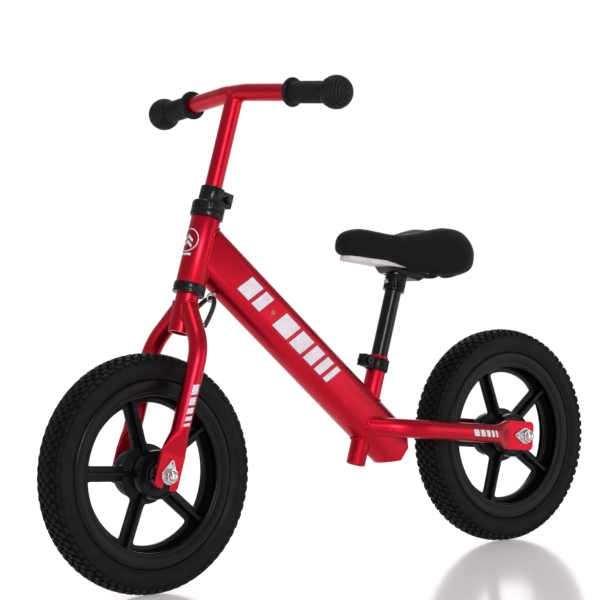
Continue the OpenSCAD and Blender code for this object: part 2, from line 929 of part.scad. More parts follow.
// Screws that come up through the bracket into the pan
module pan_screws() {
    color(STEEL) at_pan_screws() {
        translate([0, 0, screw_seat]) cylinder(r = screw_radius, h = -1 - screw_seat);
        translate([0, 0, screw_seat - 2.4]) cylinder(r = screw_head_radius, h = 2.4);
    }
}

// Plan of the saddle's pan
module pan_outline() {
    hull() {
        translate([saddle_length / 2 - 22, 0]) circle(14, $fn = HULL_FN);
        translate([0, 0]) circle(22, $fn = HULL_FN);
    }
    hull() {
        translate([0, 0]) circle(22, $fn = HULL_FN);
        for (side = [-1, 1]) translate([-saddle_length / 2 + 44, side * (saddle_width / 2 - 45)])
            circle(20, $fn = HULL_FN);
    }
}

module saddle_pan() {
    color([0.8, 0.8, 0.82]) difference() {
        at_saddle() translate([0, 0, pan_low]) linear_extrude(-pan_low) pan_outline();
        at_pan_screws() translate([0, 0, 2 * pan_low])
            cylinder(r = screw_radius, h = -1 - 2 * pan_low);
    }
}

module blob(x, y, z, rx, ry, rz) {
    translate([x, y, z]) scale([rx, ry, rz]) sphere(1, $fn = HULL_FN);
}

// Padded cover: a low nose and two high rear lobes, with a skirt round the pan
module saddle_cover() {
    lobe = saddle_width / 2 - 40;
    color([0.05, 0.05, 0.055]) at_saddle() difference() {
        union() {
            hull() {
                blob(saddle_length / 2 - 24, 0, 19, 24, 23, 17.5);
                blob(6, 0, 18, 34, 33, 21);
            }
            hull() {
                blob(6, 0, 18, 34, 33, 21);
                blob(-saddle_length / 2 + 45, lobe, 20, 45, 40, 35);
                blob(-saddle_length / 2 + 45, -lobe, 20, 45, 40, 35);
            }
        }
        translate([0, 0, -30]) linear_extrude(30) pan_outline();
    }
}

main_tube();
head_tube();
seat_tube();
rear_stay_left();
rear_stay_right();
upper_headset_cup();
lower_headset_cup();
seat_clamp();
seat_clamp_bolt();
seat_clamp_nut();
limiter_eye();
rear_axle();
rear_bearing_inner_rings();
rear_axle_spacers();
rear_tab_washers();
rear_dome_nuts();
steerer_tube();
fork_leg_left();
fork_leg_right();
crown_race();
lower_headset_bearing();
upper_headset_bearing();
headset_top_cap();
handlebar_clamp();
handlebar_clamp_bolt();
handlebar_clamp_nut();
limiter_anchors();
limiter_cord();
front_axle();
front_bearing_inner_rings();
front_axle_spacers();
front_tab_washers();
front_dome_nuts();
handlebar_post();
handlebar_bar();
grip_left();
grip_right();
seat_post();
saddle_bracket();
bracket_screw();
pan_screws();
saddle_pan();
saddle_cover();
front_tyre();
front_rim();
front_bearing_outer_rings();
front_bearing_balls();
rear_tyre();
rear_rim();
rear_bearing_outer_rings();
rear_bearing_balls();
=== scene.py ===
import math

import bmesh
import bpy
from mathutils import Matrix, Vector, noise


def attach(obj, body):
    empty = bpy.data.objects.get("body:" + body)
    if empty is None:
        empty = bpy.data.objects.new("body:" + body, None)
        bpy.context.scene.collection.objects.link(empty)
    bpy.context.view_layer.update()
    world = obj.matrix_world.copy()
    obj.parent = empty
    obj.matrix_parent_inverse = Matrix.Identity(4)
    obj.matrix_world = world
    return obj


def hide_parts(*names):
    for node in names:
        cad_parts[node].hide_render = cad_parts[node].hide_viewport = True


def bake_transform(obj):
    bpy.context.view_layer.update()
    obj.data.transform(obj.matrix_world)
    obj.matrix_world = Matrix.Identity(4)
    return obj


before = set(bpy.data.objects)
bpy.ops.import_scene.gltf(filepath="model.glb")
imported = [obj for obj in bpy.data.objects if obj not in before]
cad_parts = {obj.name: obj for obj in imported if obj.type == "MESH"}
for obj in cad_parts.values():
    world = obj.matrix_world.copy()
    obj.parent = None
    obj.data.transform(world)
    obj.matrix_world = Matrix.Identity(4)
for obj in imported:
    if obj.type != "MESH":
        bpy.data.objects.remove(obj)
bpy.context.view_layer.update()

# Sizes from the CAD source, in metres and degrees
MM = 0.001
FRONT_X = 0.3035
REAR_X = -0.3035
WHEEL_RADIUS = 0.1475
HEAD_LEAN = 19
MAIN_SLOPE = 42
STAY_RISE = 7.1
MAIN_HEIGHT = 65.5 * MM
MAIN_WIDTH = 36 * MM
HEAD_RADIUS = 18.5 * MM
CROWN_RADIUS = 14.3 * MM
LEG_RADIUS = 11.5 * MM
STAY_RADIUS = 12.5 * MM
BAR_RADIUS = 11.1 * MM
SEAT_TUBE_RADIUS = 12.7 * MM
SIDE_OFFSET = 50 * MM
DROPOUT_MIDDLE = 46.5 * MM
SIDES = (("left", 1), ("right", -1))
WHEELS = (("front", FRONT_X, "front_wheel"), ("rear", REAR_X, "rear_wheel"))
SPOKE_TURN = {"front": 77, "rear": 72}


def turned(x, z, degrees):
    """A frame in the middle plane at (x, z), turned about y."""
    return Matrix.Translation((x, 0, z)) @ Matrix.Rotation(math.radians(degrees), 4, "Y")


AT_STEERING = turned(FRONT_X, WHEEL_RADIUS, -HEAD_LEAN)
AT_MAIN = turned(-0.1178, 0.1308, 90 - MAIN_SLOPE)
AT_SEAT = turned(-0.0348, 0.1291, -19)
AT_STAY = turned(REAR_X, WHEEL_RADIUS, -STAY_RISE)
AT_SADDLE = turned(-0.119, 0.3919, -8.2)
AT_BAR = AT_STEERING @ turned(0, 0.494, HEAD_LEAN - 38)
MIRROR = Matrix.Scale(-1, 4, (0, 1, 0))


ROOM = 0.40


# ---- Camera ----

def make_camera():
    yaw, pitch, roll = -2.25873, -0.0174, -0.03653
    ahead = Vector((math.cos(pitch) * math.cos(yaw), math.cos(pitch) * math.sin(yaw), math.sin(pitch)))
    right = ahead.cross(Vector((0, 0, 1))).normalized()
    up = right.cross(ahead)
    side = math.cos(roll) * right + math.sin(roll) * up
    top = math.cos(roll) * up - math.sin(roll) * right
    data = bpy.data.cameras.new("camera")
    data.sensor_width = 36
    data.lens = 128.95
    data.clip_start = 0.05
    data.clip_end = 60
    camera = bpy.data.objects.new("camera", data)
    bpy.context.collection.objects.link(camera)
    camera.matrix_world = Matrix.Translation((1.81448, 2.14731, 0.39811)) @ Matrix(
        (side, top, -ahead)).transposed().to_4x4()
    bpy.context.scene.camera = camera


# ---- Meshes ----

def loft(rings, closed=False):
    """A skin over rings of equal length, capped unless it closes on itself."""
    n = len(rings[0])
    verts = [p for ring in rings for p in ring]
    faces = []
    for i in range(len(rings) if closed else len(rings) - 1):
        a, b = i * n, (i + 1) % len(rings) * n
        faces += [(a + k, a + (k + 1) % n, b + (k + 1) % n, b + k) for k in range(n)]
    if not closed:
        faces.append(tuple(range(n))[::-1])
        faces.append(tuple(range(len(verts) - n, len(verts))))
    return verts, faces


def joined(*parts):
    """Several (vertices, faces) pairs as one."""
    verts, faces = [], []
    for some, theirs in parts:
        start = len(verts)
        verts += some
        faces += [tuple(start + i for i in face) for face in theirs]
    return verts, faces


def moved(part, matrix):
    return [matrix @ p for p in part[0]], part[1]


def revolved(profile, segments=144):
    """A closed (radius, y) outline turned about the y axis."""
    rings = []
    for i in range(segments):
        a = 2 * math.pi * i / segments
        rings.append([Vector((r * math.cos(a), y, r * math.sin(a))) for r, y in profile])
    return loft(rings, closed=True)


def mirrored(half):
    """A closed (radius, y) outline from its half with y >= 0."""
    return half + [(r, -y) for r, y in reversed(half)]


def swept(points, radii, sides, up, closed=False):
    """A tube along points with a radius at each; up is never along the path."""
    rings = []
    last = len(points) - 1
    for i, point in enumerate(points):
        after = points[(i + 1) % len(points)] if closed else points[min(i + 1, last)]
        before = points[i - 1] if closed else points[max(i - 1, 0)]
        way = (after - before).normalized()
        u = way.cross(up).normalized()
        v = way.cross(u)
        turns = [2 * math.pi * k / sides for k in range(sides)]
        rings.append([point + radii[i] * (math.cos(a) * u + math.sin(a) * v) for a in turns])
    return loft(rings, closed)


def make_piece(name, part, material, body, replaces=(), crease=38):
    verts, faces = part
    mesh = bpy.data.meshes.new(name)
    mesh.from_pydata(verts, [], faces)
    edit = bmesh.new()
    edit.from_mesh(mesh)
    bmesh.ops.recalc_face_normals(edit, faces=edit.faces)
    edit.to_mesh(mesh)
    edit.free()
    mesh.shade_smooth()
    mesh.set_sharp_from_angle(angle=math.radians(crease))
    mesh.materials.append(material)
    piece = bpy.data.objects.new(name, mesh)
    bpy.context.collection.objects.link(piece)
    if body:
        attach(piece, body)
    if replaces:
        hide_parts(*replaces)
    return piece


def add_bevel(piece, width, segments=2, angle=35):
    bevel = piece.modifiers.new("edges", "BEVEL")
    bevel.width = width
    bevel.segments = segments
    bevel.limit_method = "ANGLE"
    bevel.angle_limit = math.radians(angle)
    bevel.harden_normals = True


def resampled(points, step):
    """The same closed line with points an even step apart."""
    loop = points + [points[0]]
    lengths = [(b - a).length for a, b in zip(loop, loop[1:])]
    count = max(12, round(sum(lengths) / step))
    pitch = sum(lengths) / count
    result, i, passed = [], 0, 0.0
    for k in range(count):
        at = k * pitch
        while i < len(lengths) - 1 and passed + lengths[i] < at:
            passed += lengths[i]
            i += 1
        part = (at - passed) / lengths[i] if lengths[i] else 0
        result.append(loop[i].lerp(loop[i + 1], part))
    return result


# ---- Material nodes ----

class Look:
    """A Principled material and the few nodes that these materials share."""

    def __init__(self, name, color, **sockets):
        self.material = bpy.data.materials.new(name)
        self.material.use_nodes = True
        self.nodes = self.material.node_tree.nodes
        self.links = self.material.node_tree.links
        self.shader = self.nodes["Principled BSDF"]
        self.shader.inputs["Base Color"].default_value = (*color, 1)
        self.set(self.shader, **sockets)
        self.material.diffuse_color = (*color, 1)
        self.place = self.nodes.new("ShaderNodeTexCoord").outputs["Object"]

    def set(self, node, **sockets):
        for key, value in sockets.items():
            node.inputs[key.replace("_", " ")].default_value = value

    def link(self, output, node, socket):
        self.links.new(output, node.inputs[socket])

    def noise(self, scale, detail=2.0):
        node = self.nodes.new("ShaderNodeTexNoise")
        self.set(node, Scale=scale, Detail=detail)
        self.link(self.place, node, "Vector")
        return node.outputs["Fac"]

    def cells(self, scale):
        node = self.nodes.new("ShaderNodeTexVoronoi")
        self.set(node, Scale=scale)
        self.link(self.place, node, "Vector")
        return node.outputs["Distance"]

    def wave(self, scale, distortion=0.0, turn=(0, 0, 0)):
        turner = self.nodes.new("ShaderNodeMapping")
        turner.inputs["Rotation"].default_value = turn
        self.link(self.place, turner, "Vector")
        node = self.nodes.new("ShaderNodeTexWave")
        self.set(node, Scale=scale, Distortion=distortion)
        self.link(turner.outputs["Vector"], node, "Vector")
        return node.outputs["Fac"]

    def ramp(self, value, stops):
        node = self.nodes.new("ShaderNodeValToRGB")
        ramp = node.color_ramp
        while len(ramp.elements) < len(stops):
            ramp.elements.new(1)
        for element, (at, color) in zip(ramp.elements, stops):
            element.position = at
            element.color = color if len(color) == 4 else (*color, 1)
        self.link(value, node, "Fac")
        return node.outputs["Color"]

    def tone(self, value, low, high):
        """A grey that goes from low to high with value."""
        node = self.nodes.new("ShaderNodeMapRange")
        self.set(node, To_Min=low, To_Max=high)
        self.link(value, node, "Value")
        return node.outputs["Result"]

    def math(self, kind, first, second):
        node = self.nodes.new("ShaderNodeMath")
        node.operation = kind
        self.links.new(first, node.inputs[0])
        if isinstance(second, float):
            node.inputs[1].default_value = second
        else:
            self.links.new(second, node.inputs[1])
        return node.outputs[0]

    def color(self, output):
        self.link(output, self.shader, "Base Color")

    def mottle(self, scale, detail, dark, light):
        """A colour that drifts between two shades."""
        self.color(self.ramp(self.noise(scale, detail), ((0.3, dark), (0.7, light))))

    def rough(self, scale, detail, low, high):
        """A roughness that drifts between two values."""
        self.link(self.tone(self.noise(scale, detail), low, high), self.shader, "Roughness")

    def bump(self, height, strength, distance):
        """Adds relief over the relief already there."""
        node = self.nodes.new("ShaderNodeBump")
        self.set(node, Strength=strength, Distance=distance)
        self.link(height, node, "Height")
        normal = self.shader.inputs["Normal"]
        if normal.links:
            self.link(normal.links[0].from_socket, node, "Normal")
        self.links.new(node.outputs["Normal"], normal)


def red_paint():
    look = Look("red_paint", (0.60, 0.006, 0.026), Metallic=1.0, Coat_Weight=0.14,
                Coat_Roughness=0.22, Specular_IOR_Level=0.4)
    flakes = look.cells(2600)
    cloud = look.noise(9, 3)
    mixed = look.math("ADD", look.math("MULTIPLY", flakes, 0.45), look.math("MULTIPLY", cloud, 0.55))
    look.color(look.ramp(mixed, ((0.25, (0.52, 0.0035, 0.018)), (0.75, (0.70, 0.009, 0.036)))))
    look.rough(34, 4, 0.31, 0.39)
    look.bump(look.noise(420, 2), 0.05, 0.0004)
    return look.material


def finish(name, base, shades, rough, *relief, **sockets):
    """A material whose colour and roughness drift; relief is (strength, distance, texture, sizes)."""
    look = Look(name, base, **sockets)
    look.mottle(*shades)
    look.rough(*rough)
    for strength, distance, texture, *sizes in relief:
        look.bump(texture(look, *sizes), strength, distance)
    return look.material


def saddle_fabric():
    look = Look("saddle_fabric", (0.006, 0.0055, 0.006), Specular_IOR_Level=0.14,
                Sheen_Weight=0.07, Sheen_Roughness=0.4)
    warp = look.wave(260, 0.6, (0, 0, math.radians(45)))
    weft = look.wave(260, 0.6, (0, 0, math.radians(-45)))
    weave = look.math("MULTIPLY", warp, weft)
    look.color(look.ramp(weave, ((0.0, (0.003, 0.0026, 0.003)), (0.8, (0.010, 0.009, 0.010)))))
    look.rough(80, 4, 0.62, 0.82)
    look.bump(weave, 0.35, 0.0004)
    look.bump(look.noise(60, 3), 0.10, 0.0010)
    return look.material


def decal(name, dark, light, rough):
    return finish(name, light, (90, 5, dark, light), (160, 4, rough, rough + 0.14),
                  (0.03, 0.0002, Look.noise, 500, 2), Specular_IOR_Level=0.5, Coat_Weight=0.2)


RED = red_paint()
GLOSS = finish("black_paint", (0.004, 0.004, 0.0045),
               (60, 5, (0.003, 0.003, 0.0034), (0.006, 0.006, 0.0066)), (110, 5, 0.18, 0.30),
               (0.04, 0.0004, Look.noise, 380, 2), Specular_IOR_Level=0.26)
PLASTIC = finish("black_plastic", (0.004, 0.004, 0.0044),
                 (40, 4, (0.0025, 0.0024, 0.0028), (0.005, 0.0048, 0.0054)), (90, 5, 0.24, 0.36),
                 (0.10, 0.0003, Look.cells, 1500), Specular_IOR_Level=0.17)
GREY = finish("grey_plastic", (0.50, 0.48, 0.50),
              (45, 4, (0.60, 0.57, 0.59), (0.72, 0.69, 0.71)), (120, 4, 0.32, 0.46),
              (0.12, 0.0003, Look.cells, 900), Specular_IOR_Level=0.5)
FOAM = finish("foam_tyre", (0.005, 0.0044, 0.005),
              (70, 6, (0.003, 0.0026, 0.003), (0.0065, 0.0058, 0.0065)), (55, 5, 0.46, 0.62),
              (0.18, 0.0004, Look.cells, 1100), (0.10, 0.0005, Look.noise, 160, 4),
              Specular_IOR_Level=0.16)
RUBBER = finish("grip_rubber", (0.005, 0.0045, 0.005),
                (120, 5, (0.0035, 0.003, 0.0034), (0.007, 0.006, 0.0068)), (140, 4, 0.38, 0.55),
                (0.14, 0.0003, Look.cells, 1700), Specular_IOR_Level=0.2)
CORD = finish("cord_rubber", (0.008, 0.008, 0.009),
              (300, 3, (0.006, 0.006, 0.006), (0.014, 0.014, 0.015)), (200, 3, 0.25, 0.4),
              (0.10, 0.0003, Look.noise, 900, 2), Specular_IOR_Level=0.5)
FABRIC = saddle_fabric()
CHROME = finish("chrome_nut", (0.78, 0.78, 0.80),
                (150, 4, (0.70, 0.70, 0.72), (0.86, 0.86, 0.88)), (260, 4, 0.12, 0.26),
                (0.04, 0.0002, Look.noise, 700, 2), Metallic=1.0)
STEEL = finish("bright_steel", (0.62, 0.62, 0.64),
               (180, 5, (0.48, 0.47, 0.46), (0.72, 0.72, 0.74)), (220, 5, 0.24, 0.42),
               (0.08, 0.0002, Look.noise, 900, 3), Metallic=1.0)
DARK_STEEL = finish("black_steel", (0.04, 0.04, 0.042),
                    (160, 4, (0.025, 0.025, 0.027), (0.055, 0.055, 0.058)), (200, 4, 0.3, 0.45),
                    (0.06, 0.0002, Look.noise, 800, 2), Metallic=0.9)
WHITE_MARK = decal("mark_white", (0.68, 0.62, 0.68), (0.80, 0.74, 0.80), 0.3)
DARK_MARK = decal("mark_dark", (0.012, 0.008, 0.010), (0.03, 0.02, 0.025), 0.3)
ORANGE_MARK = decal("mark_orange", (0.62, 0.03, 0.01), (0.78, 0.05, 0.015), 0.3)


# ---- Steering limiter: a rubber loop from the fork, through the eye, to the fork ----

def limiter_point(t, sign):
    """A point of the cord in the steering frame, from the eye at t = 0 to the fork at t = 1."""
    eye, pull, end = Vector((-35, 0, 234.7)), Vector((-37, 16, 236)), Vector((-18.5, 24, 193))
    point = (1 - t) * (1 - t) * eye + 2 * t * (1 - t) * pull + t * t * end
    return Vector((point.x, sign * point.y, point.z)) * MM


def make_limiter():
    """One half of the loop each side of the eye, each running from the eye to the fork."""
    for side, sign in SIDES:
        path = [AT_STEERING @ limiter_point(i / 28, sign) for i in range(29)]
        part = swept(path, [3.0 * MM] * len(path), 24, Vector((0.91, 0, 0.41)))
        cord = make_piece(f"limiter_loop_{side}", part, CORD, None, ["limiter_cord"])
        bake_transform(cord)


# ---- Where tubes meet ----

def in_main(point):
    q = AT_MAIN.inverted() @ point
    flat = (MAIN_HEIGHT - MAIN_WIDTH) / 2
    across = math.hypot(max(abs(q.x) - flat, 0), q.y)
    cuts = (0, q.x - 12.8 * MM, -q.x - 7.7 * MM)
    return across < MAIN_WIDTH / 2 and q.z > 12.5 * MM + max(cuts)


def in_rod(matrix, radius):
    """A test for points inside an endless rod along the z axis of matrix."""
    back = matrix.inverted()

    def test(point):
        q = back @ point
        return math.hypot(q.x, q.y) < radius
    return test


def entry(start, way, inside, reach=0.2):
    """Where a line from start first gets inside a solid."""
    step = 0.5 * MM
    gone = 0
    while gone < reach and not inside(start + way * gone):
        gone += step
    low, high = gone - step, gone
    for _ in range(14):
        middle = (low + high) / 2
        if inside(start + way * middle):
            high = middle
        else:
            low = middle
    return start + way * high


def first_inside(line, inside):
    """Where a broken line first gets inside a solid."""
    for a, b in zip(line, line[1:]):
        if inside(b):
            return entry(a, (b - a).normalized(), inside, (b - a).length + MM)
    return line[-1]


def circle(matrix, radius, count=72):
    turns = [2 * math.pi * k / count for k in range(count)]
    return [matrix @ Vector((radius * math.cos(a), radius * math.sin(a), 0)) for a in turns]


def make_weld(name, points, body, radius=1.7 * MM, pitch=2.6 * MM):
    """A rippled bead of weld along a closed line."""
    line = resampled(points, 0.55 * MM)
    middle = sum(line, Vector()) / len(line)
    normal = Vector()
    for a, b in zip(line, line[1:] + line[:1]):
        normal += (a - middle).cross(b - middle)
    radii = []
    for i, point in enumerate(line):
        ripple = abs(math.sin(math.pi * i * 0.55 * MM / pitch))
        swell = noise.noise(point * 90) * 0.12
        radii.append(radius * (0.80 + 0.26 * ripple + swell))
    part = swept(line, radii, 12, normal.normalized(), closed=True)
    return make_piece(name, part, RED, body, crease=80)


def make_frame_welds():
    along = AT_MAIN.to_3x3() @ Vector((0, 0, 1))
    flat = (MAIN_HEIGHT - MAIN_WIDTH) / 2
    oval = []
    for k in range(96):
        a = 2 * math.pi * k / 96
        x = MAIN_WIDTH / 2 * math.cos(a) + math.copysign(flat, math.cos(a))
        oval.append(AT_MAIN @ Vector((x, MAIN_WIDTH / 2 * math.sin(a) * 0.995, 0.3)))
    head = in_rod(AT_STEERING, HEAD_RADIUS)
    make_weld("weld_head", [entry(p, along, head, 0.3) for p in oval], "frame", 2.0 * MM)
    up = AT_SEAT.to_3x3() @ Vector((0, 0, 1))
    bead_radius = SEAT_TUBE_RADIUS + 0.7 * MM
    high = circle(AT_SEAT @ Matrix.Translation((0, 0, 0.12)), bead_radius)
    make_weld("weld_seat_upper", [entry(p, -up, in_main) for p in high], "frame")
    low = circle(AT_SEAT, bead_radius)
    make_weld("weld_seat_lower", [entry(p, up, in_main) for p in low], "frame")


# ---- Stays and fork legs: round tubes with flattened, slotted ends ----

def squeezed_ring(middle, wide, thick, half_wide, half_thick, power, count=48):
    """A rounded ring that goes from a circle, power 2, towards a flat plate."""
    ring = []
    for k in range(count):
        a = 2 * math.pi * k / count
        c, s = math.cos(a), math.sin(a)
        x = math.copysign(abs(c) ** (2 / power), c) * half_wide
        y = math.copysign(abs(s) ** (2 / power), s) * half_thick
        ring.append(middle + wide * x + thick * y)
    return ring


def smooth(t):
    t = min(max(t, 0), 1)
    return t * t * (3 - 2 * t)


def pinched_rings(flat_at, round_at, radius, plate_half):
    """Rings along x, from the plate to the round tube; y is outwards and z across the plate."""
    rings = []
    steps = 22
    for i in range(steps + 1):
        t = i / steps
        x = flat_at + (round_at - flat_at) * t
        width = plate_half + (radius - plate_half) * smooth(t * 1.05)
        thick = 1.9 * MM + (radius - 1.9 * MM) * smooth(t * 0.96 + 0.04) ** 1.15
        middle = DROPOUT_MIDDLE + (SIDE_OFFSET - DROPOUT_MIDDLE) * smooth(t)
        power = 2 + 3.2 * (1 - smooth(t * 1.15))
        rings.append(squeezed_ring(Vector((x, middle, 0)), Vector((0, 0, 1)), Vector((0, 1, 0)),
                                   width, thick, power))
    return rings


def tube_ring(middle, way, radius, count=48):
    """A ring round a path in the x-y plane, which starts across the plate as pinched rings do."""
    out = Vector((0, 0, 1)).cross(way).normalized()
    turns = [2 * math.pi * k / count for k in range(count)]
    return [middle + radius * (math.cos(a) * Vector((0, 0, 1)) + math.sin(a) * out) for a in turns]


def bent_rings(start, bend_radius, bend, radius, steps=18):
    """Straight to start, then a bend towards the middle plane."""
    rings = []
    for i in range(steps + 1):
        a = math.radians(bend) * i / steps
        middle = Vector((start + bend_radius * math.sin(a),
                         SIDE_OFFSET - bend_radius * (1 - math.cos(a)), 0))
        rings.append(tube_ring(middle, Vector((math.cos(a), -math.sin(a), 0)), radius))
    return rings


def plate_outline(half, reach, flat_at, slot):
    """Half above, then below, of a slotted plate: x towards the tube, z across it."""
    corner = 7 * MM
    outline = [(flat_at + 5 * MM, half), (-reach + corner, half)]
    for k in range(1, 7):
        a = math.radians(15 * k)
        outline.append((-reach + corner - corner * math.sin(a), half - corner + corner * math.cos(a)))
    outline.append((-reach, slot + 1.2 * MM))
    outline.append((-reach + 1.2 * MM, slot))
    for k in range(0, 7):
        a = math.radians(15 * k)
        outline.append((slot * math.sin(a), slot * math.cos(a)))
    below = [(x, -z) for x, z in reversed(outline[:-1])]
    return outline + below


def plate_part(half, reach, flat_at, slot, thick):
    """The plate with rounded edges, between its inner and outer faces."""
    outline = plate_outline(half, reach, flat_at, slot)
    rings = []
    for y, inset in ((-0.5, 0.5), (-0.36, 0.12), (-0.2, 0), (0.2, 0), (0.36, 0.12), (0.5, 0.5)):
        ring = []
        for i, (x, z) in enumerate(outline):
            before, after = outline[i - 1], outline[(i + 1) % len(outline)]
            way = Vector((after[0] - before[0], 0, after[1] - before[1])).normalized()
            inward = Vector((-way.z, 0, way.x))
            ring.append(Vector((x, DROPOUT_MIDDLE + y * thick, z)) + inward * inset * MM)
        rings.append(ring)
    return loft(rings)


def make_arms():
    leg_bend, stay_bend = 40, 45
    upright = Matrix.Rotation(math.radians(-90), 4, "Y")
    leg_rings = pinched_rings(24 * MM, 60 * MM, LEG_RADIUS, 18 * MM)
    leg_rings += bent_rings(140 * MM, 60 * MM, leg_bend, LEG_RADIUS)
    leg_plate = plate_part(18 * MM, 17 * MM, 24 * MM, 4.6 * MM, 4 * MM)
    crown = in_rod(AT_STEERING, CROWN_RADIUS)
    for side, sign in SIDES:
        flip = Matrix.Identity(4) if sign > 0 else MIRROR
        place = flip @ AT_STEERING @ upright
        make_arm(f"fork_leg_{side}_shaped", leg_rings, leg_plate, leg_bend, place, crown,
                 "fork", f"fork_leg_{side}", f"weld_crown_{side}")
    stay_rings = pinched_rings(28 * MM, 64 * MM, STAY_RADIUS, 20 * MM)
    stay_rings += bent_rings(180 * MM, 80 * MM, stay_bend, STAY_RADIUS)
    stay_plate = plate_part(20 * MM, 17 * MM, 28 * MM, 4.6 * MM, 4 * MM)
    for side, sign in SIDES:
        place = (Matrix.Identity(4) if sign > 0 else MIRROR) @ AT_STAY
        make_arm(f"rear_stay_{side}_shaped", stay_rings, stay_plate, stay_bend, place, in_main,
                 "frame", f"rear_stay_{side}", f"weld_stay_{side}")


def meeting_ring(rings, inside, share=1.0):
    """Where lines at a share of a tube's radius first get inside another tube."""
    middles = [sum(ring, Vector()) / len(ring) for ring in rings]
    ring = []
    for line in zip(*rings):
        ring.append(first_inside([m.lerp(p, share) for m, p in zip(middles, line)], inside))
    return ring


def make_arm(name, rings, plate, bend, place, inside, body, node, weld):
    """A tube whose last ring runs on until it meets another tube."""
    a = math.radians(bend)
    way = place.to_3x3() @ Vector((math.cos(a), -math.sin(a), 0))
    placed = [[place @ p for p in ring] for ring in rings]
    middle = sum(placed[-1], Vector()) / len(placed[-1])
    onward = [[p + way * step * 4 * MM for p in placed[-1]] for step in range(1, 12)]
    ends = []
    for share in (1.0, 0.75, 0.5, 0.25, 0.03):
        ring = []
        for point, last in zip(meeting_ring(placed[-16:] + onward, inside, share), placed[-1]):
            base = middle.lerp(last, share)
            run = max((point - base).dot(way), 0)
            ring.append(base + way * (run + 1.2 * MM))
        ends.append(ring)
    part = joined(loft(placed + ends), moved(plate, place))
    make_piece(name, part, RED, body, [node])
    make_weld(weld, meeting_ring(placed[-16:] + onward, inside), body)


# ---- Wheels ----

def tyre_profile():
    """The tyre's outline without its knobs, as (radius, y)."""
    crown = [(87.5 + math.sqrt(57.0 ** 2 - y * y), y) for y in (0, 3, 6, 9, 12, 15, 17.5, 19.3)]
    shoulder = [(139.4, 20.9), (138.4, 21.8), (137.9, 23.2), (136.7, 23.4), (135.8, 22.5),
                (133.5, 22.9), (130.5, 23.3), (127.4, 23.5), (124.2, 23.2), (121.6, 22.3),
                (119.4, 21.0), (117.6, 19.8), (116.4, 19.2), (115.9, 18.2), (115.9, 16.4),
                (112.4, 15.8), (112.2, 12), (112.2, 4)]
    return [(r * MM, y * MM) for r, y in crown[1:] + shoulder]


def knob(middle, along, across, up, size, skew):
    """A block with chamfered edges, sunk a little into the tyre."""
    length, width, height = size
    rings = []
    for lift, inset in ((-1.0, -0.25), (height - 0.7, 0.15), (height - 0.15, 0.45), (height, 0.95)):
        ring = []
        for sx, sy in ((-1, -1), (1, -1), (1, 1), (-1, 1)):
            x = sx * (length / 2 - inset) + skew * sy
            y = sy * (width / 2 - inset)
            ring.append(middle + (along * x + across * y + up * lift) * MM)
        rings.append(ring)
    return loft(rings)


# Rows of knobs: y, length, width, height, skew and phase
KNOB_ROWS = (
    (0.0, 7.8, 4.8, 3.0, 0.0, 0.0),
    (7.0, 7.4, 5.2, 2.9, 1.0, 0.5),
    (14.0, 7.6, 5.4, 2.8, -0.8, 0.0),
    (20.0, 7.6, 5.0, 3.0, 0.0, 0.5),
)
KNOB_COUNT = 74


def knob_seat(y):
    """Radius of the tyre under a knob, and the tilt of its surface there."""
    if y < 18:
        return 87.5 + math.sqrt(57.0 ** 2 - y * y), math.asin(y / 57.0)
    return 139.6, math.radians(38)


def tyre_knobs():
    parts = []
    for y, length, width, height, skew, phase in KNOB_ROWS:
        radius, tilt = knob_seat(y)
        for sign in (1, -1) if y else (1,):
            for i in range(KNOB_COUNT):
                a = 2 * math.pi * (i + phase) / KNOB_COUNT
                out = Vector((math.cos(a), 0, math.sin(a)))
                along = Vector((-math.sin(a), 0, math.cos(a)))
                side = Vector((0, sign, 0))
                up = out * math.cos(tilt) + side * math.sin(tilt)
                across = side * math.cos(tilt) - out * math.sin(tilt)
                middle = (out * radius + side * y) * MM
                parts.append(knob(middle, along, across, up, (length, width, height), skew))
    return joined(*parts)


def rim_profile():
    half = [(108.6, 3.0), (108.8, 12), (108.2, 15.2), (104.5, 15.8), (99.2, 14.7), (97.2, 14.2),
            (95.8, 14.7), (95.4, 15.7), (95.7, 17.0), (96.6, 18.0), (98.6, 18.6), (100.4, 18.4),
            (101.2, 18.9), (105.5, 19.7), (109.6, 20.2), (112.4, 20.2), (114.2, 19.8),
            (115.2, 19.0), (115.3, 17.2), (114.8, 16.2), (112.0, 15.7), (112.0, 6.0)]
    web = [(88.9, 0.8), (88.9, 2.0), (89.5, 2.6), (107.6, 2.6)]
    return [(r * MM, y * MM) for r, y in web + half]


def hub_profile():
    half = [(36.2, 0.6), (37, 1.2), (37, 2.2), (36.2, 3.2), (33, 4.2), (28.6, 5.2), (26.2, 6.2),
            (25, 8), (24.6, 12.6), (25.4, 14.0), (28.6, 14.6), (29.7, 15.4), (30, 16.4),
            (30, 26.6), (29.6, 27.6), (28.6, 28), (27.4, 27.9), (26.6, 27.2), (25.8, 26.2),
            (17.4, 26.0), (16.6, 26.6), (16.0, 27.8), (15.0, 28), (13.2, 28), (13.1, 27.6),
            (13.0, 19.6), (9.2, 19.4), (9.0, 10)]
    return [(r * MM, y * MM) for r, y in half]


